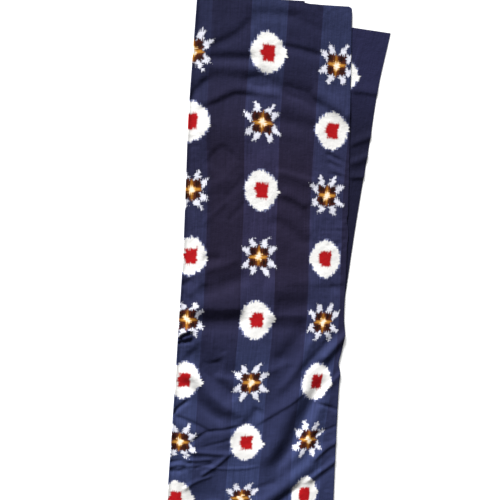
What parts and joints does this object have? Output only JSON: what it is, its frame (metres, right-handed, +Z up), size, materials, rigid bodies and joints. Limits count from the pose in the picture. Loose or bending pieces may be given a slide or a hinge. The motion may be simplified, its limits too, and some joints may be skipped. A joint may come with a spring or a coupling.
{
  "type": "folded ikat cloth",
  "caption": "Navy cotton ikat cloth with feathered stars and ringed circles, folded lengthwise into a long flat strip whose inner pleat shows beside the face.",
  "frame": {"origin": "centre of the footprint, on the surface that the folded cloth lies on", "axes": "+Y along the strip towards the far cut end, where the inner pleat shows; +Z up from the surface; +X across the strip towards the pleat that shows"},
  "size_m": [0.3431, 0.962, 0.0113],
  "materials": {
    "ikat_cotton": "plain-weave cotton, tied and dyed yarn, matt with a faint sheen on the folds"
  },
  "bodies": {
    "root": {"cloth": "ikat_cotton"}
  },
  "joints": []
}
